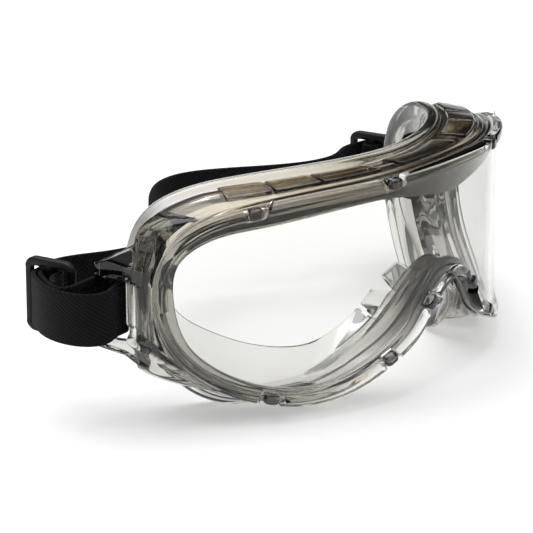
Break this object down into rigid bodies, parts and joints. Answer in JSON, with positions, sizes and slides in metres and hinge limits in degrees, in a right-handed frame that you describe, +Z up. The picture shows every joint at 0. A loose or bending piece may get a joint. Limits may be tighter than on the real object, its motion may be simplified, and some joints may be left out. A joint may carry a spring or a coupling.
{
  "type": "safety goggles",
  "caption": "Wrap-round safety goggles: clear lens clipped in a soft smoky frame with roof vents, a nose arch and a face seal, held by a black elastic strap on side lugs and slide buckles.",
  "frame": {"origin": "on the surface that the goggles stand on, below the middle of the whole object seen from above", "axes": "+Z up; the lens looks along -Y and the strap is at +Y; +X is the viewer's right when facing the lens"},
  "size_m": [0.2026, 0.1125, 0.0674],
  "materials": {
    "lens_clear": "clear polished polycarbonate",
    "frame_smoke": "glossy see-through smoke-grey soft PVC",
    "seal_smoke": "glossy see-through smoke-grey soft PVC",
    "clip_dark": "glossy dark grey PVC",
    "vent_dark": "dark smoke-grey PVC",
    "buckle_black": "satin black moulded plastic",
    "webbing_black": "matt black woven elastic webbing",
    "thread_black": "black polyester thread"
  },
  "bodies": {
    "goggles": {"lens": "lens_clear", "frame_rim": "frame_smoke", "frame_skirt": "frame_smoke", "face_seal": "seal_smoke", "lens_clips": "clip_dark", "vent_cover_left": "vent_dark", "vent_cover_centre": "vent_dark", "vent_cover_right": "vent_dark", "vent_baffle_left": "vent_dark", "vent_baffle_right": "vent_dark", "left_lug": "frame_smoke", "right_lug": "frame_smoke"},
    "strap": {"left_strap_loop": "webbing_black", "right_strap_loop": "webbing_black", "back_band": "webbing_black", "left_stitching": "thread_black", "right_stitching": "thread_black"},
    "left_buckle": {"left_buckle": "buckle_black"},
    "right_buckle": {"right_buckle": "buckle_black"}
  },
  "joints": [
    {"name": "strap_swing", "type": "hinge", "parent": "goggles", "child": "strap", "pos_m": [0, 0.0067, 0.0335], "axis": [1, 0, 0], "range_deg": [-10, 10]},
    {"name": "left_buckle_rock", "type": "hinge", "parent": "strap", "child": "left_buckle", "pos_m": [-0.0866, 0.0243, 0.0335], "axis": [0, 0, 1], "range_deg": [-5, 5]},
    {"name": "right_buckle_rock", "type": "hinge", "parent": "strap", "child": "right_buckle", "pos_m": [0.0866, 0.0243, 0.0335], "axis": [0, 0, 1], "range_deg": [-5, 5]}
  ]
}
